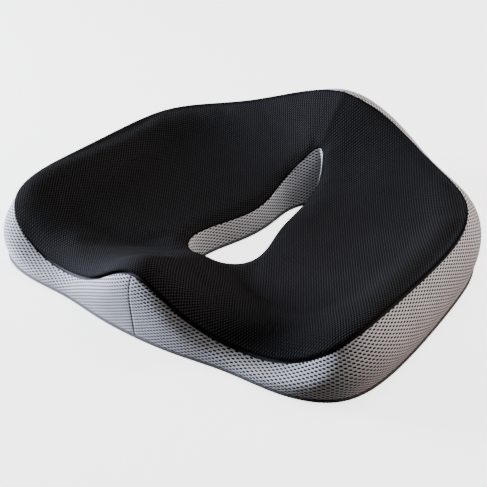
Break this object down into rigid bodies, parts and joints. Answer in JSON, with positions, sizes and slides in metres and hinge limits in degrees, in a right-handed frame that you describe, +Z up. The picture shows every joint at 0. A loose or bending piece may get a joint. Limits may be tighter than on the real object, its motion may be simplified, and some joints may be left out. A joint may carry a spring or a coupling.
{
  "type": "seat cushion",
  "caption": "Contoured foam seat cushion with raised back rim, front pommel, leg channels, keyhole cut-out and a zipped cover.",
  "frame": {"origin": "centre of the bounding box in plan, on the flat base", "axes": "+X to the sitter's right seen from behind, across the seat; +Y towards the raised back rim; +Z up"},
  "size_m": [0.4638, 0.3993, 0.1164],
  "materials": {
    "foam": "moulded memory foam, matte off-white",
    "top_mesh": "black spacer knit with a fine rib of small holes",
    "band_mesh": "light grey 3-D air mesh with rows of small diamond holes",
    "base_cloth": "black woven cloth with small rubber grip dots",
    "edge_cord": "black corded edge binding",
    "thread": "grey polyester sewing thread",
    "zip_tape": "black woven zip tape",
    "zip_coil": "black nylon coil",
    "zip_metal": "die-cast zinc with a dark gunmetal finish"
  },
  "bodies": {
    "cushion": {"foam_core": "foam", "top_panel": "top_mesh", "side_band_left": "band_mesh", "side_band_right": "band_mesh", "cutout_band": "band_mesh", "base_panel": "base_cloth", "base_edge_cord": "edge_cord", "cutout_edge_cord": "edge_cord", "front_seam_thread": "thread", "back_seam_thread": "thread", "zip_tape_upper": "zip_tape", "zip_tape_lower": "zip_tape", "zip_coil_upper": "zip_coil", "zip_coil_lower": "zip_coil", "zip_stop_closed": "zip_metal", "zip_stop_open": "zip_metal"},
    "slider": {"zip_slider": "zip_metal"},
    "pull": {"zip_pull": "zip_metal"}
  },
  "joints": [
    {"name": "zip_slide", "type": "hinge", "parent": "cushion", "child": "slider", "pos_m": [0, -0.09, 0.0138], "axis": [0, 0, -1], "range_deg": [0, 48.46]},
    {"name": "pull_swing", "type": "hinge", "parent": "slider", "child": "pull", "pos_m": [-0.11855, 0.1734, 0.0138], "axis": [0, 0, 1], "range_deg": [0, 175]}
  ]
}
